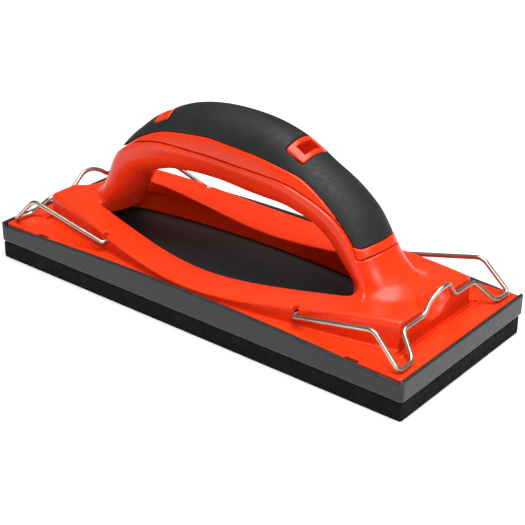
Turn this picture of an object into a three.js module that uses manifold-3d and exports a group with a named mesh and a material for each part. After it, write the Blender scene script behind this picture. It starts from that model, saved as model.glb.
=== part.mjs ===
// Hand sander (sanding float): a soft sole under a shallow tray, a one-piece moulded body with a
// hollow bow handle, a screwed-on handle cover with a soft grip, and two sprung wire paper clips.
// Millimetres, +Z up, +X along the length. The origin is the middle of the sole's underside.

import * as THREE from 'three';
import { mergeVertices } from 'three/addons/utils/BufferGeometryUtils.js';
import Module from 'manifold-3d';

const wasm = await Module();
wasm.setup();

// ---- driving dimensions -------------------------------------------------------------------

const LENGTH = 210;
const WIDTH = 85;
const GAP = 0.3; // left between neighbouring pieces

const SOLE_THICKNESS = 7.7;
const SOLE_INSET = 0.4;
const SOLE_BACK_INSET = 1.6; // the pad is glued on slightly towards the front

const TRAY_BOTTOM = SOLE_THICKNESS + GAP;
const TRAY_FLOOR = 11;
const TRAY_WALL = 1.6;
const END_RIM = 16.6;
const SIDE_RIM_AT_CORNER = 15.1;
const SIDE_RIM_AT_MIDDLE = 18.7;

const FLANGE_TOP = 16.2;
const SKIN = 2.4; // wall thickness of the body moulding
const SKIRT_BOTTOM = TRAY_FLOOR + GAP;

const HOUSING_END = 91; // end faces of the raised body, from the middle
const RAIL_HALF_WIDTH = 39.5; // raised body at the middle of the length
const HOUSING_HALF_WIDTH = 24.5; // raised body at its end faces
const RAIL_TOP = 19;
const HOUSING_TOP = 27.8;
const TOP_FALL = { depth: 2.2, x: -14, spread: 36 }; // how far the top falls towards the opening, and where

// The opening under the hand: a bow outline, longer low down, where it runs on under the legs.
const OPENING = { centre: -4, halfLength: 66, power: 6, halfWidth: 21 };
const OPENING_BOW = { centre: -5, drop: 6.3, reach: 78 };
const UNDER_LEGS = { halfLength: 79, height: 20 };
const SCOOP = { beyondEnd: 2, height: 30, along: 9, across: 11, deep: 10 };
const GULLY = { width: 2.2, depth: 1.2, halfLength: 27 };
const RIDGE = { width: 2, height: 0.5, halfLength: 28 };
const SNAP_STATIONS = [-81, -40, 40, 81];
const SNAP = { width: 6, depth: 1.6, ledge: 14.1, hookTop: 15.8, hookReach: 1.3 };

const WIRE_RADIUS = 0.95;
const PIVOT = { x: 50, z: 20.3 };
const SLOT_WIDTH = 2 * WIRE_RADIUS + 0.7;
const SLOT_REACH = 4.8; // how far the slot runs in from the side of the raised body

const HANDLE_WALL = 3.2;
const GRIP_THICKNESS = 1.6;
const POCKET = { frameAcross: 16, frameAlong: 9.2, holeAcross: 9.5, holeAlong: 4.8, depth: 8.5 };
const POCKET_WALL = 1.6;
const POCKET_STATIONS = [-36.2, 26];
const SCREW = { headRadius: 2.1, headHeight: 2.2, shankRadius: 1.3, length: 13, tipRoom: 1 };
const BOSS = { radius: 3.4, endInset: 1 };
const ROD_SIDES = 16;

// Centre line of the handle: x, z, half thickness in the side view, half width.
const HANDLE_SPINE = [
  [-80.4, 12.2, 11.5, 17.5],
  [-75.4, 20.7, 8.6, 15.5],
  [-69.1, 29.6, 6.8, 13.4],
  [-59.8, 45, 8, 13],
  [-46.3, 54.5, 10.7, 13.4],
  [-34.1, 59.7, 13.2, 13.8],
  [-21.9, 63, 14.9, 14],
  [-8, 64.4, 15.8, 14],
  [8, 63.7, 16.2, 14],
  [21.1, 61.5, 14.9, 14],
  [33.1, 57.7, 12, 13.8],
  [44.5, 53.1, 10.7, 13.4],
  [52.9, 47.1, 10.3, 13.2],
  [58.7, 39.8, 9.8, 13],
  [65.1, 31.6, 9, 13.2],
  [71.5, 24.2, 11, 15],
  [77.6, 15.4, 14.6, 18],
];

// Where the cover meets the lower half, in the side view, and where the soft grip ends.
const SEAM = [
  [-100, 34], [-77, 39], [-72, 43], [-64, 50.5], [-52, 57.3], [-36, 61.9], [-13.5, 62.9], [5, 62.5],
  [26, 61.8], [38.4, 58.8], [48.8, 54.4], [55.8, 49.2], [60, 44], [63, 38.6], [73, 43.6], [100, 57],
];
const GRIP_EDGE = [
  [-100, 36], [-78, 41], [-71, 46.5], [-59, 54.2], [-48.7, 60.9], [-33.8, 67], [-12.7, 70.2],
  [2.4, 69.9], [17.1, 68.7], [31.3, 65.8], [38.3, 63], [45.3, 58.9], [52.2, 53.6], [57.8, 48],
  [61.6, 42.6], [72, 47.2], [100, 60],
];
const SIDE_LINE_STEPS = 36;
const REGION_TOP = 120; // above everything
const REGION_HALF_WIDTH = 40; // wider than the handle
const CLEAR = 3; // how far a cutting tool stands out past the surface that it cuts
const CUT_TOP = 40; // above the raised body

const ORANGE = { color: 0xf23c1e, roughness: 0.38, metalness: 0 };
const DARK_GREY = { color: 0x4a4c4f, roughness: 0.5, metalness: 0 };
const BLACK_FOAM = { color: 0x1b1f1f, roughness: 0.85, metalness: 0 };
const SOFT_GREY = { color: 0x3c403e, roughness: 0.75, metalness: 0 };
const WIRE_STEEL = { color: 0xbcb2a6, roughness: 0.28, metalness: 1 };
const SCREW_STEEL = { color: 0x8f8f90, roughness: 0.4, metalness: 1 };

// ---- solids ---------------------------------------------------------------------------------

function solid(geometry) {
  const bare = geometry.clone();
  bare.deleteAttribute('normal');
  bare.deleteAttribute('uv');
  const merged = mergeVertices(bare, 1e-4);
  const vertProperties = new Float32Array(merged.attributes.position.array);
  const triVerts = new Uint32Array(merged.index.array);
  return new wasm.Manifold(new wasm.Mesh({ numProp: 3, vertProperties, triVerts }));
}

function geometryOf(manifold) {
  const mesh = manifold.getMesh();
  const geometry = new THREE.BufferGeometry();
  geometry.setAttribute('position', new THREE.BufferAttribute(new Float32Array(mesh.vertProperties), 3));
  geometry.setIndex(new THREE.BufferAttribute(new Uint32Array(mesh.triVerts), 1));
  return geometry;
}

function block(x0, x1, y0, y1, z0, z1) {
  const geometry = new THREE.BoxGeometry(x1 - x0, y1 - y0, z1 - z0);
  geometry.translate((x0 + x1) / 2, (y0 + y1) / 2, (z0 + z1) / 2);
  return solid(geometry);
}

// A closed shell over rings of points, all rings of the same count, capped at both ends.
function loft(rings) {
  const count = rings[0].length;
  const positions = rings.flat().flatMap((point) => [point.x, point.y, point.z]);
  const faces = [];
  for (let ring = 0; ring + 1 < rings.length; ring++) {
    for (let k = 0; k < count; k++) {
      const a = ring * count + k;
      const b = ring * count + (k + 1) % count;
      faces.push(a, b, b + count, a, b + count, a + count);
    }
  }
  const last = (rings.length - 1) * count;
  for (let k = 1; k + 1 < count; k++) {
    faces.push(0, k + 1, k, last, last + k, last + k + 1);
  }
  const geometry = new THREE.BufferGeometry();
  geometry.setAttribute('position', new THREE.Float32BufferAttribute(positions, 3));
  geometry.setIndex(faces);
  const made = solid(geometry);
  if (made.volume() > 0) return made;
  geometry.setIndex(faces.reverse());
  return solid(geometry);
}

// The part of space above a line drawn in the side view.
function regionAbove(line) {
  const first = line[0];
  const last = line[line.length - 1];
  const outline = [...line, [last[0], REGION_TOP], [first[0], REGION_TOP]];
  const shape = new THREE.Shape(outline.map(([x, z]) => new THREE.Vector2(x, z)));
  const geometry = new THREE.ExtrudeGeometry(shape, { depth: 2 * REGION_HALF_WIDTH, bevelEnabled: false });
  geometry.rotateX(Math.PI / 2);
  geometry.translate(0, REGION_HALF_WIDTH, 0);
  return solid(geometry);
}

function lowered(line, distance) {
  return line.map(([x, z], k) => {
    const before = line[Math.max(k - 1, 0)];
    const after = line[Math.min(k + 1, line.length - 1)];
    const along = new THREE.Vector2(after[0] - before[0], after[1] - before[1]).normalize();
    return [x + along.y * distance, z - along.x * distance];
  });
}

function eased(line, steps) {
  const curve = new THREE.SplineCurve(line.map(([x, z]) => new THREE.Vector2(x, z)));
  return curve.getPoints(steps).map((point) => [point.x, point.y]);
}

// ---- sole and tray --------------------------------------------------------------------------

function makeSole() {
  const halfLength = LENGTH / 2 - SOLE_INSET;
  const geometry = new THREE.BoxGeometry(2 * halfLength, WIDTH - SOLE_INSET - SOLE_BACK_INSET, SOLE_THICKNESS);
  geometry.translate(0, (SOLE_INSET - SOLE_BACK_INSET) / 2, SOLE_THICKNESS / 2);
  return geometry;
}

function sideRim(x) {
  const part = 2 * x / LENGTH;
  return SIDE_RIM_AT_CORNER + (SIDE_RIM_AT_MIDDLE - SIDE_RIM_AT_CORNER) * (1 - part * part);
}

function sideWall(sign) {
  const stations = 20;
  const rings = [];
  const outer = sign * WIDTH / 2;
  const inner = sign * (WIDTH / 2 - TRAY_WALL);
  for (let k = 0; k <= stations; k++) {
    const x = (k / stations - 0.5) * LENGTH;
    const top = sideRim(x);
    const corners = [[inner, TRAY_BOTTOM], [outer, TRAY_BOTTOM], [outer, top], [inner, top]];
    const ring = corners.map(([y, z]) => new THREE.Vector3(x, y, z));
    rings.push(ring);
  }
  return loft(rings);
}

// A snap hook inside the long rim, which holds down a ledge of the body.
function snapHook(x, sign) {
  const halfWidth = SNAP.width / 2 - GAP;
  const outer = sign * (WIDTH / 2 - TRAY_WALL / 2);
  const inner = sign * (WIDTH / 2 - TRAY_WALL - SNAP.hookReach);
  const y0 = Math.min(outer, inner);
  return block(x - halfWidth, x + halfWidth, y0, Math.max(outer, inner), SNAP.ledge + GAP, SNAP.hookTop);
}

function makeTray() {
  let tray = block(-LENGTH / 2, LENGTH / 2, -WIDTH / 2, WIDTH / 2, TRAY_BOTTOM, TRAY_FLOOR);
  for (const sign of [-1, 1]) {
    const outer = sign * LENGTH / 2;
    const inner = sign * (LENGTH / 2 - TRAY_WALL);
    const x0 = Math.min(outer, inner);
    const endWall = block(x0, Math.max(outer, inner), -WIDTH / 2, WIDTH / 2, TRAY_BOTTOM, END_RIM);
    tray = tray.add(endWall).add(sideWall(sign));
    for (const x of SNAP_STATIONS) {
      tray = tray.add(snapHook(x, sign));
    }
  }
  return geometryOf(tray);
}

// ---- raised body ----------------------------------------------------------------------------

// Half width of the raised body: a bow that runs nearly straight from the middle to each end.
function railHalfWidth(x) {
  const waist = 8;
  const drop = RAIL_HALF_WIDTH - HOUSING_HALF_WIDTH;
  const slope = Math.sqrt((drop + waist) ** 2 - waist ** 2) / HOUSING_END;
  return RAIL_HALF_WIDTH + waist - Math.hypot(waist, slope * x);
}

// Height of the raised body's outer top edge: low at the middle, level near the end faces.
function railTop(x) {
  const wave = Math.PI * x / (HOUSING_END + 4);
  return RAIL_TOP + (HOUSING_TOP - RAIL_TOP) / 2 * (1 - Math.cos(wave));
}

function openingHalfWidth(x) {
  return OPENING.halfWidth - OPENING_BOW.drop * ((x - OPENING_BOW.centre) / OPENING_BOW.reach) ** 2;
}

// The top falls from its outer edge to the opening, most in the middle and hardly at all at the ends.
function bodyTop(x, y) {
  const edge = railHalfWidth(x);
  const inward = Math.min(1, Math.max(0, (edge - Math.abs(y)) / (edge - openingHalfWidth(x))));
  const fall = TOP_FALL.depth * Math.exp(-(((x - TOP_FALL.x) / TOP_FALL.spread) ** 2));
  return railTop(x) - fall * inward;
}

// The raised body, drawn in by a wall thickness where it is used as the hollow inside.
function raisedBlock(inset, bottom) {
  const stations = 28;
  const across = 10;
  const halfLength = HOUSING_END - inset;
  const rings = [];
  for (let k = 0; k <= stations; k++) {
    const x = (2 * k / stations - 1) * halfLength;
    const edge = railHalfWidth(x) - inset;
    const ring = [new THREE.Vector3(x, -edge, bottom), new THREE.Vector3(x, edge, bottom)];
    for (let j = 0; j <= across; j++) {
      const y = (1 - 2 * j / across) * edge;
      ring.push(new THREE.Vector3(x, y, bodyTop(x, y) - inset));
    }
    rings.push(ring);
  }
  return loft(rings);
}

// A cosine or sine with its peaks flattened, which turns a circle into a rounded box.
function squared(value, power) {
  return Math.sign(value) * Math.abs(value) ** power;
}

// The opening under the hand, as an upright prism of some half length, grown by a margin.
function openingPrism(halfLength, margin, top) {
  const steps = 48;
  const points = [];
  for (let k = 0; k < steps; k++) {
    const angle = 2 * Math.PI * k / steps;
    const x = OPENING.centre + squared(Math.cos(angle), 2 / OPENING.power) * (halfLength + margin);
    const y = squared(Math.sin(angle), 2 / OPENING.power) * (openingHalfWidth(x) + margin);
    points.push(new THREE.Vector2(x, y));
  }
  const geometry = new THREE.ExtrudeGeometry(new THREE.Shape(points), { depth: top, bevelEnabled: false });
  return solid(geometry);
}

function makeShell() {
  const halfLength = LENGTH / 2 - TRAY_WALL - GAP;
  const halfWidth = WIDTH / 2 - TRAY_WALL - GAP;
  const insideLength = halfLength - SKIN;
  const insideWidth = halfWidth - SKIN;
  const underFlange = FLANGE_TOP - SKIN;
  const flange = block(-halfLength, halfLength, -halfWidth, halfWidth, SKIRT_BOTTOM, FLANGE_TOP);
  const pocket = block(-insideLength, insideLength, -insideWidth, insideWidth, 0, underFlange);
  const wellWithWall = openingPrism(OPENING.halfLength, SKIN, CUT_TOP);
  const well = openingPrism(OPENING.halfLength, 0, CUT_TOP);
  const scoopsWithWall = endScoop(-1, SKIN).add(endScoop(1, SKIN));
  const hollow = pocket.add(raisedBlock(SKIN, 0)).subtract(wellWithWall).subtract(scoopsWithWall);
  return flange.add(raisedBlock(0, underFlange)).subtract(hollow).subtract(well);
}

// A finger scoop in one end, or that scoop with the wall that stands round it.
function endScoop(sign, wall) {
  const geometry = new THREE.SphereGeometry(1, 20, 12);
  geometry.scale(SCOOP.along + wall, SCOOP.across + wall, SCOOP.deep + wall);
  geometry.translate(sign * (HOUSING_END + SCOOP.beyondEnd), 0, SCOOP.height);
  return solid(geometry);
}

// A gully for the folded paper edge at the foot of each end face.
function gully(sign) {
  const from = sign * HOUSING_END;
  const to = sign * (HOUSING_END + GULLY.width);
  const y = GULLY.halfLength;
  return block(Math.min(from, to), Math.max(from, to), -y, y, FLANGE_TOP - GULLY.depth, FLANGE_TOP + CLEAR);
}

function ridge(sign) {
  const from = sign * (HOUSING_END + GULLY.width);
  const to = from + sign * RIDGE.width;
  const y = RIDGE.halfLength;
  const bottom = FLANGE_TOP - GULLY.depth;
  return block(Math.min(from, to), Math.max(from, to), -y, y, bottom, FLANGE_TOP + RIDGE.height);
}

// An upright slot through the side of the raised body that takes one end of a wire clip.
function clipSlot(signX, signY) {
  const x = signX * PIVOT.x;
  const outer = signY * (railHalfWidth(PIVOT.x) + CLEAR);
  const inner = signY * (railHalfWidth(PIVOT.x) - SLOT_REACH);
  const bottom = PIVOT.z - WIRE_RADIUS - GAP;
  const y0 = Math.min(outer, inner);
  return block(x - SLOT_WIDTH / 2, x + SLOT_WIDTH / 2, y0, Math.max(outer, inner), bottom, CUT_TOP);
}

function snapNotch(x, sign) {
  const outer = sign * WIDTH / 2;
  const inner = sign * (WIDTH / 2 - TRAY_WALL - GAP - SNAP.depth);
  const y0 = Math.min(outer, inner);
  return block(x - SNAP.width / 2, x + SNAP.width / 2, y0, Math.max(outer, inner), SNAP.ledge, CUT_TOP);
}

// ---- handle ---------------------------------------------------------------------------------

const spinePoints = HANDLE_SPINE.map(([x, z]) => new THREE.Vector3(x, 0, z));
const sizePoints = HANDLE_SPINE.map(([, , thick, wide]) => new THREE.Vector3(thick, wide, 0));
const spineCurve = new THREE.CatmullRomCurve3(spinePoints);
const sizeCurve = new THREE.CatmullRomCurve3(sizePoints);

function handleFrame(t) {
  const centre = spineCurve.getPoint(t);
  const tangent = spineCurve.getTangent(t);
  const outward = new THREE.Vector3(-tangent.z, 0, tangent.x);
  const size = sizeCurve.getPoint(t);
  return { centre, tangent, outward, halfThickness: size.x, halfWidth: size.y };
}

// The handle as a tube of oval sections, drawn in by an inset, between two places on the spine.
function handleTube(inset, from, to) {
  const stations = 28;
  const around = 20;
  const rings = [];
  for (let k = 0; k <= stations; k++) {
    const frame = handleFrame(from + (to - from) * k / stations);
    const ring = [];
    for (let j = 0; j < around; j++) {
      const angle = 2 * Math.PI * j / around;
      const outward = Math.sin(angle) * (frame.halfThickness - inset);
      const point = frame.centre.clone().addScaledVector(frame.outward, outward);
      point.y = -Math.cos(angle) * (frame.halfWidth - inset);
      ring.push(point);
    }
    rings.push(ring);
  }
  return loft(rings);
}

function frameAtX(x) {
  let low = 0;
  let high = 1;
  for (let k = 0; k < 40; k++) {
    const middle = (low + high) / 2;
    if (spineCurve.getPoint(middle).x < x) low = middle;
    else high = middle;
  }
  return handleFrame(low);
}

// A box or cylinder set square to the handle: depth is counted inward from the outer surface.
function setIntoHandle(geometry, frame, depth) {
  const basis = new THREE.Matrix4().makeBasis(frame.tangent, new THREE.Vector3(0, 1, 0), frame.outward);
  basis.setPosition(frame.centre.clone().addScaledVector(frame.outward, frame.halfThickness - depth));
  geometry.applyMatrix4(basis);
  return solid(geometry);
}

function sunkBox(frame, along, across, fromDepth, toDepth) {
  const geometry = new THREE.BoxGeometry(along, across, toDepth - fromDepth);
  return setIntoHandle(geometry, frame, (fromDepth + toDepth) / 2);
}

function sunkRod(frame, radius, fromDepth, toDepth) {
  const geometry = new THREE.CylinderGeometry(radius, radius, toDepth - fromDepth, ROD_SIDES);
  geometry.rotateX(Math.PI / 2);
  return setIntoHandle(geometry, frame, (fromDepth + toDepth) / 2);
}

const SCREW_FRAMES = POCKET_STATIONS.map(frameAtX);
const POCKET_BOTTOM = POCKET.depth + POCKET_WALL;
const HOLLOW = { from: 0.2, to: 0.82 }; // the part of the spine where the handle is a hollow tube

const handleOuter = handleTube(0, 0, 1);
const handleHollow = handleTube(HANDLE_WALL, HOLLOW.from, HOLLOW.to);
const underGrip = handleTube(GRIP_THICKNESS, 0, 1);
const coverSide = regionAbove(eased(SEAM, SIDE_LINE_STEPS));
const gripSide = regionAbove(eased(GRIP_EDGE, SIDE_LINE_STEPS));

function makeBody() {
  let body = makeShell();
  for (const sign of [-1, 1]) {
    body = body.add(ridge(sign));
  }
  const aboveFlange = block(-LENGTH, LENGTH, -WIDTH, WIDTH, FLANGE_TOP - SKIN, REGION_TOP);
  const aboveSeam = regionAbove(lowered(eased(SEAM, SIDE_LINE_STEPS), GAP));
  const lowerHalf = handleOuter.subtract(handleHollow).subtract(aboveSeam);
  body = body.add(lowerHalf.intersect(aboveFlange));
  body = body.subtract(openingPrism(UNDER_LEGS.halfLength, 0, UNDER_LEGS.height));
  for (const frame of SCREW_FRAMES) {
    const farSide = 2 * frame.halfThickness - BOSS.endInset;
    const boss = sunkRod(frame, BOSS.radius, POCKET_BOTTOM + GAP, farSide);
    const hole = sunkRod(frame, SCREW.shankRadius + GAP, 0, POCKET.depth + SCREW.length);
    body = body.add(boss).subtract(hole);
  }
  for (const sign of [-1, 1]) {
    body = body.subtract(endScoop(sign, 0)).subtract(gully(sign));
    body = body.subtract(clipSlot(sign, -1)).subtract(clipSlot(sign, 1));
    for (const x of SNAP_STATIONS) {
      body = body.subtract(snapNotch(x, sign));
    }
  }
  return geometryOf(body);
}

function makeCover() {
  const gripRoom = handleTube(-CLEAR, 0, 1).subtract(handleTube(GRIP_THICKNESS + GAP, 0, 1));
  const gripCut = gripRoom.intersect(regionAbove(lowered(eased(GRIP_EDGE, SIDE_LINE_STEPS), GAP)));
  let cover = handleOuter.intersect(coverSide).subtract(handleHollow);
  let frames = null;
  for (const frame of SCREW_FRAMES) {
    const wallsAlong = POCKET.holeAlong + 2 * POCKET_WALL;
    const wallsAcross = POCKET.holeAcross + 2 * POCKET_WALL;
    const walls = sunkBox(frame, wallsAlong, wallsAcross, GRIP_THICKNESS + GAP, POCKET_BOTTOM);
    const post = sunkBox(frame, POCKET.frameAlong, POCKET.frameAcross, -CLEAR, HANDLE_WALL);
    const rim = post.intersect(handleOuter);
    frames = frames ? frames.add(rim) : rim;
    cover = cover.add(walls);
  }
  cover = cover.subtract(gripCut).add(frames);
  for (const frame of SCREW_FRAMES) {
    cover = cover.subtract(sunkBox(frame, POCKET.holeAlong, POCKET.holeAcross, -CLEAR, POCKET.depth));
    cover = cover.subtract(sunkRod(frame, SCREW.shankRadius + GAP, 0, POCKET_BOTTOM + CLEAR));
  }
  return geometryOf(cover);
}

function makeGrip() {
  let grip = handleOuter.subtract(underGrip).intersect(gripSide);
  const along = POCKET.frameAlong + 2 * GAP;
  const across = POCKET.frameAcross + 2 * GAP;
  for (const frame of SCREW_FRAMES) {
    const room = sunkBox(frame, along, across, -CLEAR, POCKET.depth);
    grip = grip.subtract(room);
  }
  return geometryOf(grip);
}

function makeScrew(frame) {
  const headBottom = POCKET.depth - GAP;
  const tip = POCKET.depth + SCREW.length - SCREW.tipRoom;
  const head = sunkRod(frame, SCREW.headRadius, headBottom - SCREW.headHeight, headBottom);
  const shank = sunkRod(frame, SCREW.shankRadius, POCKET.depth - SCREW.headHeight, tip);
  return geometryOf(head.add(shank));
}

// ---- wire clips -----------------------------------------------------------------------------

// The corners of half of one clip's centre line, from its end in the slot to the foot of its finger
// hump, then the corners of the two humps. The left hump is bent lower.
const CLIP_PATH = [
  [PIVOT.x, 29.4, PIVOT.z], [PIVOT.x, 34.6, PIVOT.z], [88.3, 37, 29.4], [100.4, 38.2, 17.45],
  [99.9, 28.6, 17.45], [92.3, 24.4, 25.2], [92.3, 10.6, 25.4],
];
const LEFT_HUMP = [[92.4, 6.8, 28.4], [93.4, 2.6, 30.2]];
const RIGHT_HUMP = [[92.4, 6.6, 30.4], [93.9, 2.6, 33.6]];
const BEND_REACHES = [0, 1.6, 3, 3, 3, 2.4, 1.6, 2, 2]; // how far before each corner its bend starts

// The corners of a wire's path with each one rounded by a bend.
function rounded(corners, reaches) {
  const stepsInBend = 4;
  const points = [corners[0]];
  for (let k = 1; k + 1 < corners.length; k++) {
    const corner = corners[k];
    const enter = corner.clone().add(corners[k - 1].clone().sub(corner).setLength(reaches[k]));
    const leave = corner.clone().add(corners[k + 1].clone().sub(corner).setLength(reaches[k]));
    points.push(...new THREE.QuadraticBezierCurve3(enter, corner, leave).getPoints(stepsInBend));
  }
  points.push(corners[corners.length - 1]);
  return points;
}

// A curve that runs straight from each point to the next, with one step of the extrusion for each.
class PointPath extends THREE.Curve {
  constructor(points) {
    super();
    this.points = points;
  }

  getPoint(t) {
    const place = Math.min(Math.max(t, 0), 1) * (this.points.length - 1);
    const k = Math.min(Math.floor(place), this.points.length - 2);
    return this.points[k].clone().lerp(this.points[k + 1], place - k);
  }

  getPointAt(u) {
    return this.getPoint(u);
  }

  getTangentAt(u) {
    return this.getTangent(u);
  }
}

function makeClip(signX, hump) {
  const half = [...CLIP_PATH, ...hump].map(([x, y, z]) => new THREE.Vector3(signX * x, -y, z));
  const otherHalf = half.map((point) => new THREE.Vector3(point.x, -point.y, point.z)).reverse();
  const reaches = [...BEND_REACHES, ...BEND_REACHES.toReversed()];
  const points = rounded([...half, ...otherHalf], reaches);
  const section = new THREE.Shape();
  section.absarc(0, 0, WIRE_RADIUS, 0, 2 * Math.PI);
  const options = { curveSegments: 4, steps: points.length - 1, extrudePath: new PointPath(points) };
  return geometryOf(solid(new THREE.ExtrudeGeometry(section, options)));
}

// ---- assembly -------------------------------------------------------------------------------

const sander = new THREE.Group();

function addPiece(name, geometry, look) {
  const mesh = new THREE.Mesh(geometry, new THREE.MeshStandardMaterial(look));
  mesh.name = name;
  sander.add(mesh);
}

addPiece('sole_pad', makeSole(), BLACK_FOAM);
addPiece('base_tray', makeTray(), DARK_GREY);
addPiece('body', makeBody(), ORANGE);
addPiece('handle_cover', makeCover(), ORANGE);
addPiece('soft_grip', makeGrip(), SOFT_GREY);
SCREW_FRAMES.forEach((frame, k) => {
  addPiece(`handle_screw_${k + 1}`, makeScrew(frame), SCREW_STEEL);
});
addPiece('left_clip', makeClip(-1, LEFT_HUMP), WIRE_STEEL);
addPiece('right_clip', makeClip(1, RIGHT_HUMP), WIRE_STEEL);

export default sander;
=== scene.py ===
"""Hand sander with two sprung wire paper clips: its looks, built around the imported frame.

Shapes are worked out in millimetres, in the frame's own axes, and placed in metres. A moulded piece
is written as a distance field, which is negative inside the piece. Fields are joined and cut with
round fillets and edges, and field_piece() turns one into a closed smooth mesh.
"""

import math

import bpy
import numpy as np
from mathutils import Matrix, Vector


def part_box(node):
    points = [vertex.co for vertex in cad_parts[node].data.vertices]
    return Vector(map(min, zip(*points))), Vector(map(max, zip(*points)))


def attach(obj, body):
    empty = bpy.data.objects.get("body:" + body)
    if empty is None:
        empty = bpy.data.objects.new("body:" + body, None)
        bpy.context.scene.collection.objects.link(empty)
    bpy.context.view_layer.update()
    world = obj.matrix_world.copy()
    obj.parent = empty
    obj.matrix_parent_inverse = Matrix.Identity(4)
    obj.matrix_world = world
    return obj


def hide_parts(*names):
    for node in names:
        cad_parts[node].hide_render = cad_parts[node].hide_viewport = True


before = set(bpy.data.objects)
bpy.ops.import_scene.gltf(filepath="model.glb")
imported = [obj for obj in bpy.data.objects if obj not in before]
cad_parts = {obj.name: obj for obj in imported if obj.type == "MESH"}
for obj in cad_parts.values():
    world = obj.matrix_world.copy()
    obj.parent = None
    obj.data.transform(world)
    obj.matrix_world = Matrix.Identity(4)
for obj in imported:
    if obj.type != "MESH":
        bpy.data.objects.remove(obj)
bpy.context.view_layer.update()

# ---- sizes, in millimetres, worked out from the frame ------------------------------------------

MM = 0.001


def node_box(node):
    low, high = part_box(node)
    return np.array(low) / MM, np.array(high) / MM


TRAY_LOW, TRAY_HIGH = node_box("base_tray")
SOLE_LOW, SOLE_HIGH = node_box("sole_pad")
BODY_LOW, BODY_HIGH = node_box("body")

HALF_LENGTH = TRAY_HIGH[0]
HALF_WIDTH = TRAY_HIGH[1]
FLANGE_HALF_LENGTH = BODY_HIGH[0]
FLANGE_HALF_WIDTH = BODY_HIGH[1]
GAP = TRAY_LOW[2] - SOLE_HIGH[2]

TRAY_FLOOR = TRAY_LOW[2] + 3
TRAY_CORNER = 1.2
TRAY_WALL = HALF_LENGTH - FLANGE_HALF_LENGTH - GAP
SIDE_RIM_CROWN = 3.6  # the long rims stand this much higher in the middle than at the corners
END_RIM = TRAY_HIGH[2] - 2.1

SKIRT_BOTTOM = BODY_LOW[2]
FLANGE_TOP = 16.2
SKIN = 2.4
HOUSING_END = 91
RAIL_HALF_WIDTH = 39.5
HOUSING_HALF_WIDTH = 24.5
RAIL_TOP = 19
HOUSING_TOP = 27.8
RAIL_CREST = HOUSING_END + 4  # where the rise of the rails would level out
HOUSING_EDGE = 0.7
RAIL_FOOT = 0.9  # fillet between the raised body and the flange
RAIL_EDGE = {"radius": 0.9, "growth": 1.5, "from": 50, "to": 80}
OPENING_CENTRE = -4
OPENING_HALF_LENGTH = 75
OPENING_SQUARENESS = 8
OPENING_BOW = {"half_width": 21, "drop": 6.3, "x": -5, "reach": 78}
TOP_FALL = {"depth": 2.2, "x": -14, "spread": 36}
UNDER_LEGS_HALF_LENGTH = 79
UNDER_LEGS_TOP = 20.5

PIP = {"x": 74, "z": 3.2, "radius": 0.8, "sunk": 0.55}  # a moulding mark on the front of the sole
SCOOP = {"radii": (9, 11, 10), "x": HOUSING_END + 2, "z": 30}
GULLY = {"width": 2.2, "depth": 1.2, "half_length": 27}
RIDGE = {"width": 2.0, "height": 0.5, "half_length": 28, "corner": 0.9}
SNAP_STATIONS = (-81, -40, 40, 81)
SNAP = {"width": 6, "depth": 1.6, "ledge": 14.1, "hook_top": 15.8, "hook_reach": 1.3}

WIRE_RADIUS = 0.95
PIVOT_X = 50
PIVOT_Z = 20.3
SLOT_WIDTH = 2 * WIRE_RADIUS + 0.7
SLOT = {"notch": 2.4, "reach": 4.8, "roof": 21.5}  # the slot runs on inward under a thin roof

HANDLE_WALL = 3.2
HOLLOW_REACH = 56  # the handle is a tube between the two legs
GRIP_THICKNESS = 1.6
POCKET = {"frame_across": 16, "frame_along": 9.2, "across": 9.5, "along": 4.8, "depth": 8.5, "wall": 1.6}
FRAME_SUNK = 0.05
POCKET_STATIONS = (-36.2, 26)
SCREW = {"head_radius": 2.1, "head_height": 2.2, "head_edge": 0.7, "shank_radius": 1.3, "length": 13,
         "tip_room": 1}
THREAD = {"pitch": 1.25, "depth": 0.22, "point": 3, "point_taper": 0.9}
RECESS = {"half_width": 0.35, "reach": 1.35, "depth": 1.1, "edge": 0.1}
BOSS_RADIUS = 3.4
OUTSIDE = -4  # depth at which a cut into the handle starts, clear of its surface
LEG_FILLET = {"left": 2.5, "growth": 2, "over": 10}
LEG_END = {"inset": 1.5, "radius": 3}

# Centre line of the handle: x, z, half thickness in the side view, half width. These rows, and most
# points of the seam and grip arches below, were fitted by a separate program.
HANDLE_SPINE = [
    (-80.4, 12.2, 11.5, 17.5), (-75.4, 20.7, 8.6, 15.5), (-69.1, 29.6, 6.8, 13.4), (-59.8, 45, 8, 13),
    (-46.3, 54.5, 10.7, 13.4), (-34.1, 59.7, 13.2, 13.8), (-21.9, 63, 14.9, 14), (-8, 64.4, 15.8, 14),
    (8, 63.7, 16.2, 14), (21.1, 61.5, 14.9, 14), (33.1, 57.7, 12, 13.8), (44.5, 53.1, 10.7, 13.4),
    (52.9, 47.1, 10.3, 13.2), (58.7, 39.8, 9.8, 13), (65.1, 31.6, 9, 13.2), (71.5, 24.2, 11, 15),
    (77.6, 15.4, 14.6, 18),
]

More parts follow.
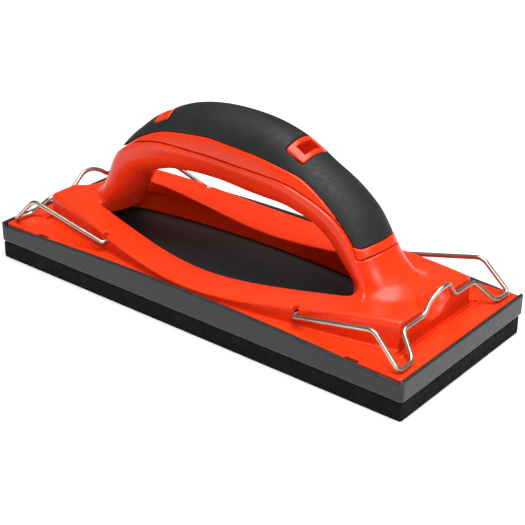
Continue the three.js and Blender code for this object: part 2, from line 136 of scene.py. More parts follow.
# Side-view arches where the cover meets the lower half and where the grip ends, and the straight
# collars that close each of them at its left and right end: where a collar starts, and its slope.
SEAM_ARCH = [(-77, 39), (-72, 43), (-64, 50.5), (-52, 57.3), (-36, 61.9), (-13.5, 62.9), (5, 62.5),
             (26, 61.8), (38.4, 58.8), (48.8, 54.4), (55.8, 49.2), (60, 44), (63, 38.6)]
SEAM_COLLARS = [(-77, 39, 0.22), (63, 38.6, 0.5)]
SEAM_CORNER = 1.5
GRIP_ARCH = [(-78, 41), (-71, 46.5), (-59, 54.2), (-48.7, 60.9), (-33.8, 67), (-12.7, 70.2), (2.4, 69.9),
             (17.1, 68.7), (31.3, 65.8), (38.3, 63), (45.3, 58.9), (52.2, 53.6), (57.8, 48), (61.6, 42.6)]
GRIP_COLLARS = [(-78, 41, 0.23), (61.6, 42.6, 0.44)]
GRIP_CORNER = 2.5
# The rounded lip of the lower half follows the seam, then runs on down the leg to the raised body.
LIP_ARCH = SEAM_ARCH + [(66.2, 32.5), (70.5, 26), (76, 19)]
LIP = {"height": 0.55, "start": -0.1, "full": 0.8, "flat": 1.6, "fade": 6}

# Corners of half of a clip's centre line, from its end in the slot to the foot of its finger hump,
# the corners of the two humps, and how far before each corner its bend starts.
CLIP_PATH = [
    (PIVOT_X, 29.4, PIVOT_Z), (PIVOT_X, 34.6, PIVOT_Z), (88.3, 37, 29.4), (100.4, 38.2, 17.45),
    (99.9, 28.6, 17.45), (92.3, 24.4, 25.2), (92.3, 10.6, 25.4),
]
LEFT_HUMP = [(92.4, 6.8, 28.4), (93.4, 2.6, 30.2)]
RIGHT_HUMP = [(92.4, 6.6, 30.4), (93.9, 2.6, 33.6)]
CLIP_BENDS = [0, 1.6, 3, 3, 3, 2.4, 1.6, 2, 2]

# Radii of moulded edges and fillets.
FINE = 0.2
SHARP = 0.3
CRISP = 0.4
TRAY_EDGE = 0.45
EVEN = 0.5
SOFT = 0.6
ROUND = 0.8

COARSE = 1.0
MOST_TRIANGLES = 150000

# ---- fields ------------------------------------------------------------------------------------


def joined(a, b, radius):
    """Either solid, with a round fillet where they meet."""
    fillet = np.hypot(np.maximum(radius - a, 0), np.maximum(radius - b, 0))
    return np.maximum(radius, np.minimum(a, b)) - fillet


def common(a, b, radius):
    """What is in both solids, with a round edge where they meet."""
    edge = np.hypot(np.maximum(radius + a, 0), np.maximum(radius + b, 0))
    return np.minimum(-radius, np.maximum(a, b)) + edge


def cut(a, b, radius):
    """The first solid without the second, with a round edge."""
    return common(a, -b, radius)


def between(value, low, high):
    return np.abs(value - (low + high) / 2) - (high - low) / 2


def block(x, y, z, low, high, radius):
    sides = common(between(x, low[0], high[0]), between(y, low[1], high[1]), radius)
    return common(sides, between(z, low[2], high[2]), radius)


def ball(x, y, z, centre, radius):
    return np.sqrt((x - centre[0]) ** 2 + (y - centre[1]) ** 2 + (z - centre[2]) ** 2) - radius


def ease(value, start, end):
    """0 before start, 1 after end, and a smooth rise between them."""
    part = np.clip((value - start) / (end - start), 0, 1)
    return part * part * (3 - 2 * part)


def gradient(field, points):
    step = 0.02
    slopes = []
    for axis in range(3):
        ahead = points.copy()
        behind = points.copy()
        ahead[:, axis] += step
        behind[:, axis] -= step
        slopes.append((field(*ahead.T) - field(*behind.T)) / (2 * step))
    return np.stack(slopes, 1)


def settled(field, points, cell):
    """Points moved onto the field's surface, at most half a cell at a time."""
    for _ in range(2):
        slope = gradient(field, points)
        steepness = np.maximum((slope ** 2).sum(1), 0.05)
        move = slope * (field(*points.T) / steepness)[:, None]
        length = np.linalg.norm(move, axis=1)[:, None]
        points = points - move * np.minimum(1, 0.5 * cell / np.maximum(length, 1e-9))
    return points


def surface_net(field, low, high, cell):
    """Vertices and quads of the closed surface on which the field is 0."""
    margin = 2 * cell
    axes = [np.arange(a - margin, b + 1.5 * margin, cell) for a, b in zip(low, high)]
    values = field(*np.meshgrid(*axes, indexing="ij", sparse=True)).astype(np.float32)
    inside = values < 0
    cells = [len(axis) - 1 for axis in axes]
    corners = [(i, j, k) for i in (0, 1) for j in (0, 1) for k in (0, 1)]
    filled = np.zeros(cells, np.uint8)
    for i, j, k in corners:
        filled += inside[i:cells[0] + i, j:cells[1] + j, k:cells[2] + k]
    active = np.argwhere((filled > 0) & (filled < 8))
    number = np.full(cells, -1, np.int32)
    number[tuple(active.T)] = np.arange(len(active))
    at_corner = {corner: values[tuple((active + corner).T)] for corner in corners}
    total = np.zeros((len(active), 3))
    crossings = np.zeros(len(active))
    for corner in corners:
        for axis in range(3):
            if corner[axis] == 1:
                continue
            other = tuple(1 if n == axis else c for n, c in enumerate(corner))
            a = at_corner[corner]
            b = at_corner[other]
            crossing = (a < 0) != (b < 0)
            point = np.tile(np.array(corner, float), (len(active), 1))
            point[:, axis] = a / np.where(crossing, a - b, 1)
            total[crossing] += point[crossing]
            crossings += crossing
    places = active + total / crossings[:, None]
    vertices = np.array([axis[0] for axis in axes]) + cell * places
    quads = []
    for axis in range(3):
        u, v = np.roll(np.eye(3, dtype=int), -axis - 1, axis=0)[:2]
        steps = inside.shape[axis]
        near = np.take(inside, range(steps - 1), axis)
        far = np.take(inside, range(1, steps), axis)
        edge = np.argwhere(near != far)
        around = [number[tuple(place.T)] for place in (edge - u - v, edge - v, edge, edge - u)]
        faces = np.stack(around, 1)
        leaving = near[tuple(edge.T)]
        faces[~leaving] = faces[~leaving][:, ::-1]
        quads.append(faces)
    return vertices, np.concatenate(quads)


def thinned(vertices, faces, keep):
    """The same surface with a share of its triangles, fewest where it is flat."""
    mesh = bpy.data.meshes.new("thinned")
    mesh.from_pydata(vertices, [], faces)
    carrier = bpy.data.objects.new("thinned", mesh)
    bpy.context.scene.collection.objects.link(carrier)
    carrier.modifiers.new("thin", "DECIMATE").ratio = keep
    ready = carrier.evaluated_get(bpy.context.evaluated_depsgraph_get()).to_mesh()
    points = np.zeros(3 * len(ready.vertices), np.float32)
    ready.vertices.foreach_get("co", points)
    faces = [tuple(face.vertices) for face in ready.polygons]
    bpy.data.objects.remove(carrier)
    bpy.data.meshes.remove(mesh)
    return points.reshape(-1, 3).astype(float), faces


# ---- pieces ------------------------------------------------------------------------------------


def new_piece(name, vertices, faces, material, body, replaces):
    """A smooth mesh piece from millimetre vertices, riding on a body in place of a CAD node."""
    mesh = bpy.data.meshes.new(name)
    mesh.from_pydata(np.asarray(vertices, float) * MM, [], faces)
    mesh.shade_smooth()
    mesh.materials.append(material)
    piece = bpy.data.objects.new(name, mesh)
    bpy.context.scene.collection.objects.link(piece)
    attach(piece, body)
    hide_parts(replaces)
    return piece


def field_piece(name, field, box, cell, material, body, replaces):
    """A closed mesh piece of a field, with the field's own slope as its shading normals."""
    cell = cell * COARSE
    vertices, faces = surface_net(field, *box, cell)
    vertices = settled(field, vertices, cell)
    keep = MOST_TRIANGLES / (2 * len(faces))
    if keep < 1:
        vertices, faces = thinned(vertices, faces, keep)
        vertices = settled(field, vertices, cell)
    piece = new_piece(name, vertices, faces, material, body, replaces)
    slope = gradient(field, vertices)
    normals = slope / np.maximum(np.linalg.norm(slope, axis=1), 1e-9)[:, None]
    piece.data.normals_split_custom_set_from_vertices(normals)
    return piece


# ---- sole and tray -----------------------------------------------------------------------------


def sole_field(x, y, z):
    slab = block(x, y, z, SOLE_LOW, SOLE_HIGH, EVEN)
    pip = ball(x, y, z, (PIP["x"], SOLE_LOW[1] + PIP["sunk"], PIP["z"]), PIP["radius"])
    return joined(slab, pip, FINE)


def snap_hooks_field(x, y, z):
    hooks = np.inf
    inner = HALF_WIDTH - TRAY_WALL - SNAP["hook_reach"]
    half = SNAP["width"] / 2 - GAP
    for station in SNAP_STATIONS:
        low = (station - half, inner, SNAP["ledge"] + GAP)
        high = (station + half, HALF_WIDTH - TRAY_WALL / 2, SNAP["hook_top"])
        hooks = np.minimum(hooks, block(x, np.abs(y), z, low, high, SHARP))
    return hooks


def tray_field(x, y, z):
    """A floor and a rim, whose long sides are crowned and whose end walls are straight."""
    plan = common(np.abs(x) - HALF_LENGTH, np.abs(y) - HALF_WIDTH, TRAY_CORNER)
    side_rim = TRAY_HIGH[2] - SIDE_RIM_CROWN * (x / HALF_LENGTH) ** 2
    side_wall = common(HALF_WIDTH - TRAY_WALL - np.abs(y), z - side_rim, TRAY_EDGE)
    end_wall = common(HALF_LENGTH - TRAY_WALL - np.abs(x), z - END_RIM, TRAY_EDGE)
    inside = joined(joined(z - TRAY_FLOOR, side_wall, SOFT), end_wall, SOFT)
    tray = common(common(plan, inside, TRAY_EDGE), TRAY_LOW[2] - z, CRISP)
    return joined(tray, snap_hooks_field(x, y, z), FINE)


# ---- raised body -------------------------------------------------------------------------------


def rail_half_width(x):
    """A bow that runs nearly straight from the middle to each end."""
    waist = 8
    drop = RAIL_HALF_WIDTH - HOUSING_HALF_WIDTH
    slope = math.sqrt((drop + waist) ** 2 - waist ** 2) / HOUSING_END
    return RAIL_HALF_WIDTH + waist - np.hypot(waist, slope * x)


def rail_top(x):
    wave = np.pi * np.clip(x / RAIL_CREST, -1, 1)
    return RAIL_TOP + (HOUSING_TOP - RAIL_TOP) / 2 * (1 - np.cos(wave))


def opening_half_width(x):
    away = (x - OPENING_BOW["x"]) / OPENING_BOW["reach"]
    return OPENING_BOW["half_width"] - OPENING_BOW["drop"] * away ** 2


def body_top(x, y):
    """Height of the raised body, which falls from its outer edge to the opening, most in the middle."""
    edge = rail_half_width(x)
    inward = np.clip((edge - np.abs(y)) / (edge - opening_half_width(x)), 0, 1)
    fall = TOP_FALL["depth"] * np.exp(-((x - TOP_FALL["x"]) / TOP_FALL["spread"]) ** 2)
    return rail_top(x) - fall * inward


def opening_field(x, y, centre, half_length):
    """The upright well under the hand: a bow outline with full round corners."""
    along = np.abs((x - centre) / half_length)
    width = opening_half_width(x)
    across = np.abs(y / width)
    power = OPENING_SQUARENESS
    return ((along ** power + across ** power) ** (1 / power) - 1) * width


def raised_field(x, y, z, inset):
    side = np.abs(y) - rail_half_width(x) + inset
    top = z - body_top(x, y) + inset
    edge = RAIL_EDGE["radius"] + RAIL_EDGE["growth"] * ease(np.abs(x), RAIL_EDGE["from"], RAIL_EDGE["to"])
    return common(common(side, top, edge), np.abs(x) - HOUSING_END + inset, HOUSING_EDGE)


def shell_field(x, y, z):
    """Flange, paper ridges and raised body, still solid."""
    plan = common(np.abs(x) - FLANGE_HALF_LENGTH, np.abs(y) - FLANGE_HALF_WIDTH, 1)
    flange = common(plan, z - FLANGE_TOP, EVEN)
    ridge_start = HOUSING_END + GULLY["width"]
    ridge = common(between(np.abs(x), ridge_start, ridge_start + RIDGE["width"]),
                   np.abs(y) - RIDGE["half_length"], RIDGE["corner"])
    ridge = common(ridge, between(z, FLANGE_TOP - 1, FLANGE_TOP + RIDGE["height"]), CRISP)
    solid = joined(joined(flange, ridge, FINE), raised_field(x, y, z, 0), RAIL_FOOT)
    return common(solid, SKIRT_BOTTOM - z, SHARP)


def scoop_field(x, y, z):
    """The two finger scoops, one in each end of the raised body."""
    reach_x = (np.abs(x) - SCOOP["x"]) / SCOOP["radii"][0]
    reach_y = y / SCOOP["radii"][1]
    reach_z = (z - SCOOP["z"]) / SCOOP["radii"][2]
    return (np.sqrt(reach_x ** 2 + reach_y ** 2 + reach_z ** 2) - 1) * min(SCOOP["radii"])


def hollow_field(x, y, z):
    """The room under the shell, outside the walls round the opening and the finger scoops."""
    plan = common(np.abs(x) - FLANGE_HALF_LENGTH + SKIN, np.abs(y) - FLANGE_HALF_WIDTH + SKIN, 1)
    under_flange = common(plan, z - FLANGE_TOP + SKIN, EVEN)
    room = joined(under_flange, raised_field(x, y, z, SKIN), SOFT)
    room = cut(room, scoop_field(x, y, z) - SKIN, SOFT)
    return cut(room, opening_field(x, y, OPENING_CENTRE, OPENING_HALF_LENGTH) - SKIN, SOFT)


# ---- handle ------------------------------------------------------------------------------------

ARCH_CENTRE = (-1, 8)


def smooth_line(points, steps=12):
    """A curve through all the points, with a number of steps between each two."""
    points = np.array(points, float)
    padded = np.vstack([2 * points[0] - points[1], points, 2 * points[-1] - points[-2]])
    line = []
    for a, b, c, d in zip(padded, padded[1:], padded[2:], padded[3:]):
        for t in np.arange(steps) / steps:
            curved = (2 * a - 5 * b + 4 * c - d) * t ** 2 + (3 * b - a - 3 * c + d) * t ** 3
            line.append(b + ((c - a) * t + curved) / 2)
    return np.array(line + [points[-1]])


def arch_table(points):
    """By angle about the arch centre: a side-view arch's radius, how squarely it crosses, and its rows."""
    line = smooth_line(points)
    away = line[:, :2] - ARCH_CENTRE
    angle = np.arctan2(away[:, 1], away[:, 0])
    radius = np.hypot(away[:, 0], away[:, 1])
    along = np.gradient(line[:, :2], axis=0)
    square = np.abs(along[:, 0] * away[:, 1] - along[:, 1] * away[:, 0])
    square /= np.hypot(along[:, 0], along[:, 1]) * radius
    order = np.argsort(angle)
    return angle[order], radius[order], square[order], line[order]


SPINE_TABLE = arch_table(HANDLE_SPINE)
SEAM_TABLE = arch_table(SEAM_ARCH)
GRIP_TABLE = arch_table(GRIP_ARCH)
LIP_TABLE = arch_table(LIP_ARCH)


def arch_angle(x, z):
    return np.arctan2(z - ARCH_CENTRE[1], x - ARCH_CENTRE[0])


def beyond_arch(x, z, table):
    """Distance outward from a side-view arch."""
    angle = arch_angle(x, z)
    radius = np.hypot(x - ARCH_CENTRE[0], z - ARCH_CENTRE[1])
    return (radius - np.interp(angle, table[0], table[1])) * np.interp(angle, table[0], table[2])


def above_arch(x, z, table, collars, corner):
    """The region above an arch and its collars."""
    left, right = [(start_z + (x - start_x) * slope - z) / math.hypot(1, slope)
                   for start_x, start_z, slope in collars]
    return common(-beyond_arch(x, z, table), np.where(x < 0, left, right), corner)


def above_seam(x, z):
    return above_arch(x, z, SEAM_TABLE, SEAM_COLLARS, SEAM_CORNER)


def above_grip_edge(x, z):
    return above_arch(x, z, GRIP_TABLE, GRIP_COLLARS, GRIP_CORNER)


def handle_field(x, y, z, inset):
    """The bow handle as a tube of oval sections, drawn in by an inset."""
    angle = arch_angle(x, z)
    outward = beyond_arch(x, z, SPINE_TABLE)
    thick = np.interp(angle, SPINE_TABLE[0], SPINE_TABLE[3][:, 2]) - inset
    wide = np.interp(angle, SPINE_TABLE[0], SPINE_TABLE[3][:, 3]) - inset
    far = np.sqrt((outward / thick) ** 2 + (y / wide) ** 2)
    slope = np.sqrt((outward / thick ** 2) ** 2 + (y / wide ** 2) ** 2)
    return far * (far - 1) / np.maximum(slope, 1e-3)


def handle_hollow_field(x, y, z):
    return common(handle_field(x, y, z, HANDLE_WALL), np.abs(x) - HOLLOW_REACH, 1)


def station(x):
    """Centre, direction, outward direction and half thickness of the handle above an x."""
    line = smooth_line(HANDLE_SPINE)
    k = int(np.argmin(np.abs(line[:, 0] - x)))
    tangent = line[k + 1, :2] - line[k - 1, :2]
    tangent /= np.linalg.norm(tangent)
    return line[k, :2], tangent, np.array((-tangent[1], tangent[0])), line[k, 2]


STATIONS = [station(x) for x in POCKET_STATIONS]


def along_and_depth(x, z, at):
    """Distance along the handle from a station, and distance in from the outer surface there."""
    centre, tangent, outward, thick = at
    along = (x - centre[0]) * tangent[0] + (z - centre[1]) * tangent[1]
    depth = thick - (x - centre[0]) * outward[0] - (z - centre[1]) * outward[1]
    return along, depth


def sunk_box(x, y, z, at, size, top, bottom, radius):
    along, depth = along_and_depth(x, z, at)
    low = (-size[0] / 2, -size[1] / 2, top)
    high = (size[0] / 2, size[1] / 2, bottom)
    return block(along, y, depth, low, high, radius)


def sunk_rod(x, y, z, at, radius, top, bottom):
    along, depth = along_and_depth(x, z, at)
    return common(np.hypot(along, y) - radius, between(depth, top, bottom), SHARP)


def screw_hole(x, y, z, at):
    return sunk_rod(x, y, z, at, SCREW["shank_radius"] + GAP, 0, POCKET["depth"] + SCREW["length"])


def lower_half_field(x, y, z):
    """The legs and the lower half of the handle, with a rounded lip along the seam."""
    inside_arch = -beyond_arch(x, z, LIP_TABLE)
    risen = ease(inside_arch, LIP["start"], LIP["full"])
    faded = ease(inside_arch, LIP["flat"], LIP["fade"])
    lip = LIP["height"] * risen * (1 - faded)
    outer = handle_field(x, y, z, 0) - lip
    half = cut(outer, handle_hollow_field(x, y, z), SHARP)
    return common(half, GAP / 2 - above_seam(x, z), ROUND)


# ---- the moulded pieces ------------------------------------------------------------------------


def end_cuts_field(x, y, z):
    """Finger scoops, paper gullies, clip slots and snap notches, at both ends and both sides."""
    x = np.abs(x)
    y = np.abs(y)
    gully = block(x, y, z, (HOUSING_END, -1, FLANGE_TOP - GULLY["depth"]),
                  (HOUSING_END + GULLY["width"], GULLY["half_length"], FLANGE_TOP + 3), CRISP)
    wall = rail_half_width(PIVOT_X)
    slot_from = PIVOT_X - SLOT_WIDTH / 2
    slot_to = PIVOT_X + SLOT_WIDTH / 2
    slot_floor = PIVOT_Z - WIRE_RADIUS - GAP
    notch = block(x, y, z, (slot_from, wall - SLOT["notch"], slot_floor),
                  (slot_to, wall + 3, HOUSING_TOP), SHARP)
    channel = block(x, y, z, (slot_from, wall - SLOT["reach"], slot_floor),
                    (slot_to, wall, SLOT["roof"]), SHARP)
    cuts = np.minimum(np.minimum(scoop_field(x, y, z), gully), np.minimum(notch, channel))
    notch_floor = HALF_WIDTH - TRAY_WALL - GAP - SNAP["depth"]
    for place in SNAP_STATIONS[2:]:
        low = (place - SNAP["width"] / 2, notch_floor, SNAP["ledge"])
        high = (place + SNAP["width"] / 2, HALF_WIDTH + 2, 2 * HOUSING_TOP)
        cuts = np.minimum(cuts, block(x, y, z, low, high, SHARP))
    return cuts


def body_field(x, y, z):
    shell = cut(shell_field(x, y, z), hollow_field(x, y, z), SHARP)
    shell = cut(shell, opening_field(x, y, OPENING_CENTRE, OPENING_HALF_LENGTH), SOFT)
    legs = common(lower_half_field(x, y, z), FLANGE_TOP - SKIN - z, SHARP)
    legs = common(legs, np.abs(x) - HOUSING_END + LEG_END["inset"], LEG_END["radius"])
    leg_fillet = LEG_FILLET["left"] + LEG_FILLET["growth"] * ease(x, 0, LEG_FILLET["over"])
    solid = joined(shell, legs, leg_fillet)
    under_legs = opening_field(x, y, OPENING_CENTRE, UNDER_LEGS_HALF_LENGTH)
    solid = cut(solid, common(under_legs, z - UNDER_LEGS_TOP, EVEN), EVEN)
    for at in STATIONS:
        boss_top = POCKET["depth"] + POCKET["wall"] + GAP
        boss = sunk_rod(x, y, z, at, BOSS_RADIUS, boss_top, 2 * at[3] - 1)
        solid = cut(joined(solid, boss, SOFT), screw_hole(x, y, z, at), FINE)
    return cut(solid, end_cuts_field(x, y, z), CRISP)


def cover_field(x, y, z):
    """The upper half of the handle, sunk by the grip's thickness, with two framed screw pockets."""
    outer = handle_field(x, y, z, 0)
    cover = common(cut(outer, handle_hollow_field(x, y, z), EVEN), above_seam(x, z) + GAP / 2, EVEN)
    frames = np.inf
    for at in STATIONS:
        wall = 2 * POCKET["wall"]
        size = (POCKET["along"] + wall, POCKET["across"] + wall)
        bottom = POCKET["depth"] + POCKET["wall"]
        cover = joined(cover, sunk_box(x, y, z, at, size, GRIP_THICKNESS + GAP, bottom, EVEN), EVEN)
        size = (POCKET["frame_along"], POCKET["frame_across"])
        frames = np.minimum(frames, sunk_box(x, y, z, at, size, OUTSIDE, HANDLE_WALL, ROUND))
    over_skin = -handle_field(x, y, z, GRIP_THICKNESS + GAP)
    cover = cut(cover, common(over_skin, above_grip_edge(x, z) - GAP, EVEN), CRISP)
    cover = joined(cover, common(frames, outer + FRAME_SUNK, EVEN), CRISP)
    for at in STATIONS:
        size = (POCKET["along"], POCKET["across"])
        cover = cut(cover, sunk_box(x, y, z, at, size, OUTSIDE, POCKET["depth"], EVEN), CRISP)
        cover = cut(cover, screw_hole(x, y, z, at), FINE)
    return cover


def grip_field(x, y, z):
    """The soft skin over the cover, open round the two pocket frames."""
    skin = cut(handle_field(x, y, z, 0), handle_field(x, y, z, GRIP_THICKNESS), CRISP)
    grip = common(skin, above_grip_edge(x, z), SOFT)
    size = (POCKET["frame_along"] + 2 * GAP, POCKET["frame_across"] + 2 * GAP)
    for at in STATIONS:
        grip = cut(grip, sunk_box(x, y, z, at, size, OUTSIDE, POCKET["depth"], ROUND), CRISP)
    return grip


def screw_field_at(at):
    """A pan head with a cross recess on a threaded shank with a point."""
    top = POCKET["depth"] - GAP - SCREW["head_height"]
    tip = POCKET["depth"] + SCREW["length"] - SCREW["tip_room"]

    def field(x, y, z):
        along, depth = along_and_depth(x, z, at)
        radius = np.hypot(along, y)
        turn = np.arctan2(y, along) - 2 * np.pi * depth / THREAD["pitch"]
        head = common(radius - SCREW["head_radius"], between(depth, top, POCKET["depth"] - GAP),
                      SCREW["head_edge"])
        taper = THREAD["point_taper"] * ease(depth, tip - THREAD["point"], tip)
        started = ease(depth, POCKET["depth"] + 1, POCKET["depth"] + 2)
        thread = THREAD["depth"] * (1 - np.cos(turn)) * started
        shank = common(radius - SCREW["shank_radius"] + thread + taper, between(depth, top + 1, tip), FINE)
        cross = np.minimum(np.abs(along), np.abs(y)) - RECESS["half_width"]
        recess = common(cross, radius - RECESS["reach"], RECESS["edge"])
        recess = common(recess, depth - top - RECESS["depth"], RECESS["edge"])
        return cut(np.minimum(head, shank), recess, RECESS["edge"])

    return field


def screw_box(at):
    centre, _, outward, thick = at
    top = POCKET["depth"] - SCREW["head_height"] - GAP
    tip = POCKET["depth"] + SCREW["length"] - SCREW["tip_room"]
    ends = []
    for depth in (top, tip):
        x, z = centre + outward * (thick - depth)
        ends.append((x, 0, z))
    reach = SCREW["head_radius"]
    return np.min(ends, 0) - reach, np.max(ends, 0) + reach


# ---- wire clips --------------------------------------------------------------------------------


def rounded_path(corners, reaches, steps=10):
    """A path through the corners with each one rounded by a bend."""
    corners = [np.array(corner, float) for corner in corners]
    path = [corners[0]]
    for before, corner, after, reach in zip(corners, corners[1:], corners[2:], reaches[1:]):
        enter = corner + (before - corner) * reach / np.linalg.norm(before - corner)
        leave = corner + (after - corner) * reach / np.linalg.norm(after - corner)
        for t in np.linspace(0, 1, steps + 1):
            path.append(enter * (1 - t) ** 2 + corner * 2 * t * (1 - t) + leave * t ** 2)
    return np.array(path + [corners[-1]])


def wire_mesh(path, radius, sides=16):
    """Rings round a path, turned as little as possible from each to the next, with domed ends."""
    tangents = np.gradient(path, axis=0)
    tangents /= np.linalg.norm(tangents, axis=1)[:, None]
    across = np.cross(tangents[0], (0.3, 0.2, 1))
    rings = []
    for point, tangent in zip(path, tangents):
        across = across - tangent * (across @ tangent)
        across /= np.linalg.norm(across)
        rings.append((point, tangent, across))
    dome = [(math.cos(a), math.sin(a)) for a in np.linspace(0.15, 1, 5) * math.pi / 2]
    first, last = rings[0], rings[-1]
    spread = [(first[0] - first[1] * radius * c * 0.5, first, s) for c, s in dome[:-1]]
    spread += [(ring[0], ring, 1) for ring in rings]
    spread += [(last[0] + last[1] * radius * c * 0.5, last, s) for c, s in dome[-2::-1]]
    vertices = []
    for point, (_, tangent, side), size in spread:
        up = np.cross(tangent, side)
        for angle in np.arange(sides) * 2 * math.pi / sides:
            vertices.append(point + radius * size * (side * math.cos(angle) + up * math.sin(angle)))
    faces = []
    for ring in range(len(spread) - 1):
        for k in range(sides):
            a = ring * sides + k
            b = ring * sides + (k + 1) % sides
            faces.append((a, b, b + sides, a + sides))
    end = (len(spread) - 1) * sides
    faces.append(tuple(range(sides - 1, -1, -1)))
    faces.append(tuple(range(end, end + sides)))
    return np.array(vertices), faces


def clip_path(side, hump):
    """The whole centre line of the clip at one end of the tool: side is -1 for left, 1 for right."""
    near = [(side * x, -y, z) for x, y, z in CLIP_PATH + hump]
    far = [(x, -y, z) for x, y, z in reversed(near)]
    return rounded_path(near + far, CLIP_BENDS + CLIP_BENDS[::-1])


# ---- materials ---------------------------------------------------------------------------------


def new_material(name, roughness, metallic=0.0):
    made = bpy.data.materials.new(name)
    made.use_nodes = True
    shader = made.node_tree.nodes["Principled BSDF"]
    shader.inputs["Metallic"].default_value = metallic
    shader.inputs["Roughness"].default_value = roughness
    return made, made.node_tree, shader


def noise(tree, scale, detail=3.0, stretch=(1, 1, 1)):
    """Noise over the piece's own metres: scale is features per metre."""
    place = tree.nodes.new("ShaderNodeTexCoord")
    mapping = tree.nodes.new("ShaderNodeMapping")
    mapping.inputs["Scale"].default_value = stretch
    texture = tree.nodes.new("ShaderNodeTexNoise")
    texture.inputs["Scale"].default_value = scale
    texture.inputs["Detail"].default_value = detail
    tree.links.new(place.outputs["Object"], mapping.inputs["Vector"])
    tree.links.new(mapping.outputs["Vector"], texture.inputs["Vector"])
    return texture.outputs["Fac"]


def spread(tree, value, low, high, start=0.3, end=0.7):
    """A value mapped from start..end to low..high, and held outside them."""
    node = tree.nodes.new("ShaderNodeMapRange")
    node.inputs["From Min"].default_value = start
    node.inputs["From Max"].default_value = end
    node.inputs["To Min"].default_value = low
    node.inputs["To Max"].default_value = high
    tree.links.new(value, node.inputs["Value"])
    return node.outputs["Result"]


def shades(tree, value, dark, light, start=0.3, end=0.7):
    """A colour that runs from dark to light with a value."""
    ramp = tree.nodes.new("ShaderNodeValToRGB")
    first, last = ramp.color_ramp.elements
    first.position = start
    first.color = (*dark, 1)
    last.position = end
    last.color = (*light, 1)
    tree.links.new(value, ramp.inputs["Fac"])
    return ramp.outputs["Color"]


def wear_and_painted_highlight_edges(tree, colour, edge_wear_and_highlight_colour, start, end):
    """The colour, paler where the surface turns sharply outward: partly edge wear, partly a painted
    highlight along the edges.
    """
    geometry = tree.nodes.new("ShaderNodeNewGeometry")
    patches = spread(tree, noise(tree, 260, 4), 0.35, 1)
    sharp = spread(tree, geometry.outputs["Pointiness"], 0, 1, start, end)
    share = tree.nodes.new("ShaderNodeMath")
    share.operation = "MULTIPLY"
    tree.links.new(patches, share.inputs[0])
    tree.links.new(sharp, share.inputs[1])
    mix = tree.nodes.new("ShaderNodeMix")
    mix.data_type = "RGBA"
    factor, first, second = mix.inputs[0], mix.inputs[6], mix.inputs[7]
    tree.links.new(share.outputs["Value"], factor)
    tree.links.new(colour, first)
    second.default_value = (*edge_wear_and_highlight_colour, 1)
    return mix.outputs[2]


def grain(tree, shader, scale, height, detail=2.0, stretch=(1, 1, 1)):
    """Fine surface grain: scale in features per metre, height in millimetres."""
    bump = tree.nodes.new("ShaderNodeBump")
    bump.inputs["Strength"].default_value = 1.0
    bump.inputs["Distance"].default_value = height * MM
    tree.links.new(noise(tree, scale, detail, stretch), bump.inputs["Height"])
    tree.links.new(bump.outputs["Normal"], shader.inputs["Normal"])


def orange_plastic():
    """Satin moulded plastic, with faint flow clouds and a fine spark-eroded grain."""
    made, tree, shader = new_material("body_plastic", 0.3)
    shader.inputs["Specular IOR Level"].default_value = 0.3
    clouds = shades(tree, noise(tree, 24, 4), (0.72, 0.032, 0.004), (0.80, 0.040, 0.006))
    tree.links.new(clouds, shader.inputs["Base Color"])
    tree.links.new(spread(tree, noise(tree, 420, 3), 0.25, 0.33), shader.inputs["Roughness"])
    grain(tree, shader, 1700, 0.006)
    return made


def tray_plastic():
    """Dark grey plastic, drawn slightly along the length, with paler edges that are partly rubbed wear and
    partly a painted highlight.
    """
    made, tree, shader = new_material("tray_plastic", 0.4)
    shader.inputs["Specular IOR Level"].default_value = 0.25
    clouds = shades(tree, noise(tree, 30, 4, (0.4, 1, 1)), (0.016, 0.017, 0.0185), (0.022, 0.023, 0.025))
    # paler edges: partly wear, partly a painted highlight along the edges
    tree.links.new(wear_and_painted_highlight_edges(tree, clouds, (0.06, 0.06, 0.062), 0.53, 0.62), shader.inputs["Base Color"])
    tree.links.new(spread(tree, noise(tree, 500, 3), 0.24, 0.34), shader.inputs["Roughness"])
    grain(tree, shader, 1500, 0.015)
    return made


def sole_rubber():
    """Dense black rubber with an open, slightly dusty skin."""
    made, tree, shader = new_material("sole_rubber", 0.8)
    shader.inputs["Specular IOR Level"].default_value = 0.07
    specks = shades(tree, noise(tree, 900, 5), (0.003, 0.0035, 0.004), (0.007, 0.008, 0.008))
    # paler edges: partly wear, partly a painted highlight along the edges
    tree.links.new(wear_and_painted_highlight_edges(tree, specks, (0.03, 0.03, 0.03), 0.53, 0.65), shader.inputs["Base Color"])
    tree.links.new(spread(tree, noise(tree, 300, 3), 0.62, 0.85), shader.inputs["Roughness"])
    grain(tree, shader, 1100, 0.05, 4)
    return made


def grip_rubber():
    """Soft-touch grey rubber: a dull skin with a fine leathery grain."""
    made, tree, shader = new_material("grip_rubber", 0.6)
    shader.inputs["Specular IOR Level"].default_value = 0.24
    clouds = shades(tree, noise(tree, 60, 5), (0.010, 0.012, 0.0115), (0.017, 0.020, 0.019))
    # paler edges: partly wear, partly a painted highlight along the edges
    tree.links.new(wear_and_painted_highlight_edges(tree, clouds, (0.1, 0.1, 0.1), 0.54, 0.66), shader.inputs["Base Color"])
    tree.links.new(spread(tree, noise(tree, 700, 3), 0.5, 0.66), shader.inputs["Roughness"])
    grain(tree, shader, 1300, 0.03, 3)
    return made


def clip_wire():
    """Drawn spring steel, with a warm tarnish and draw marks along the tool."""
    made, tree, shader = new_material("clip_wire", 0.25, metallic=1.0)
    tarnish = shades(tree, noise(tree, 90, 5), (0.44, 0.37, 0.31), (0.6, 0.52, 0.45))
    tree.links.new(tarnish, shader.inputs["Base Color"])
    tree.links.new(spread(tree, noise(tree, 600, 3, (0.2, 1, 1)), 0.3, 0.42), shader.inputs["Roughness"])
    grain(tree, shader, 2200, 0.008, 2, (0.15, 1, 1))
    return made


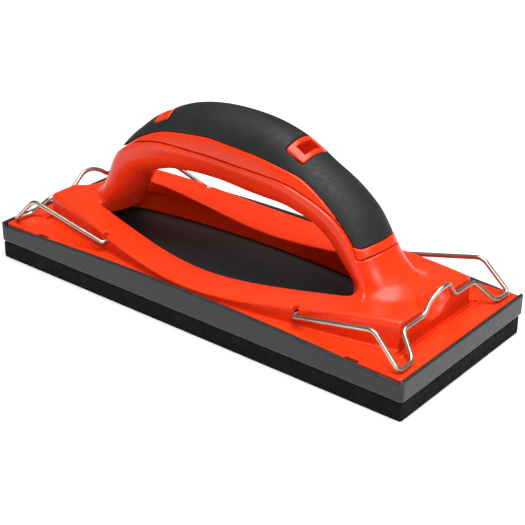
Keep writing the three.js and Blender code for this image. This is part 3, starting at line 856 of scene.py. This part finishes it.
def screw_steel():
    """Zinc-plated steel, mottled and slightly dull."""
    made, tree, shader = new_material("screw_steel", 0.4, metallic=1.0)
    mottle = shades(tree, noise(tree, 900, 4), (0.3, 0.3, 0.32), (0.5, 0.5, 0.5))
    tree.links.new(mottle, shader.inputs["Base Color"])
    tree.links.new(spread(tree, noise(tree, 1500, 3), 0.3, 0.5), shader.inputs["Roughness"])
    grain(tree, shader, 3000, 0.01)
    return made


def pale_floor():
    made, tree, shader = new_material("pale_floor", 0.7)
    pale = shades(tree, noise(tree, 6, 3), (0.93, 0.93, 0.93), (0.96, 0.96, 0.96))
    tree.links.new(pale, shader.inputs["Base Color"])
    return made


# ---- the object --------------------------------------------------------------------------------


def build_sander():
    orange = orange_plastic()
    lower_half_top = 64
    handle_top = TRAY_HIGH[2] + 62.5
    body_box = (BODY_LOW, (*BODY_HIGH[:2], lower_half_top))
    cover_box = ((-76, -15, 36), (76, 15, handle_top))
    steel = screw_steel()
    field_piece("sole_slab", sole_field, (SOLE_LOW, SOLE_HIGH), 0.7, sole_rubber(),
                "sander", "sole_pad")
    field_piece("tray_shell", tray_field, (TRAY_LOW, TRAY_HIGH), 0.6, tray_plastic(),
                "sander", "base_tray")
    field_piece("body_moulding", body_field, body_box, 0.6, orange,
                "sander", "body")
    field_piece("cover_shell", cover_field, cover_box, 0.5, orange,
                "sander", "handle_cover")
    field_piece("grip_skin", grip_field, cover_box, 0.45, grip_rubber(),
                "sander", "soft_grip")
    for number, at in enumerate(STATIONS, 1):
        field_piece(f"screw_{number}", screw_field_at(at), screw_box(at), 0.12, steel,
                    "sander", f"handle_screw_{number}")


def build_clips():
    wire = clip_wire()
    for side, name, hump in ((-1, "left", LEFT_HUMP), (1, "right", RIGHT_HUMP)):
        vertices, faces = wire_mesh(clip_path(side, hump), WIRE_RADIUS)
        new_piece(f"clip_wire_{name}", vertices, faces, wire, f"clip_{name}", f"{name}_clip")


# ---- floor, light and camera -------------------------------------------------------------------


def build_floor():
    reach = 6
    drop = 0.05 * MM  # keeps the floor off the sole's face
    mesh = bpy.data.meshes.new("floor")
    corners = [(-reach, -reach, 0), (reach, -reach, 0), (reach, reach, 0), (-reach, reach, 0)]
    mesh.from_pydata(corners, [], [(0, 1, 2, 3)])
    mesh.materials.append(pale_floor())
    floor = bpy.data.objects.new("floor", mesh)
    floor.location.z = -drop
    bpy.context.scene.collection.objects.link(floor)


def soft_light(name, place, size, power):
    """A square soft box at a place in metres, which faces the middle of the tool."""
    lamp = bpy.data.lights.new(name, "AREA")
    lamp.shape = "SQUARE"
    lamp.size = size
    lamp.energy = power
    light = bpy.data.objects.new(name, lamp)
    light.location = place
    light.rotation_euler = (Vector(place) - Vector((0, 0, 0.03))).to_track_quat("Z", "Y").to_euler()
    bpy.context.scene.collection.objects.link(light)


def build_lights():
    world = bpy.data.worlds.new("studio")
    world.use_nodes = True
    sky = world.node_tree.nodes["Background"]
    sky.inputs["Color"].default_value = (1, 1, 1, 1)
    sky.inputs["Strength"].default_value = 0.12
    bpy.context.scene.world = world
    soft_light("top", (0.15, 0.0, 1.45), 1.1, 34)
    soft_light("front_right", (0.85, -0.6, 0.8), 0.4, 6.5)
    bpy.context.scene.view_settings.view_transform = "Standard"


def build_camera():
    """A long lens that looks down on the near corner of the tool."""
    camera = bpy.data.cameras.new("camera")
    camera.sensor_width = 36
    camera.lens = 91.12
    camera.clip_start = 0.01
    viewer = bpy.data.objects.new("camera", camera)
    aim = Vector((1.10, 7.93, 10.82)) * MM
    azimuth = math.radians(39.15)
    elevation = math.radians(26.747)
    distance = 556.7 * MM
    level = math.cos(elevation)
    back = Vector((level * math.sin(azimuth), -level * math.cos(azimuth), math.sin(elevation)))
    viewer.location = aim + back * distance
    viewer.rotation_euler = (-back).to_track_quat("-Z", "Y").to_euler()
    bpy.context.scene.collection.objects.link(viewer)
    bpy.context.scene.camera = viewer


build_sander()
build_clips()
build_floor()
build_lights()
build_camera()
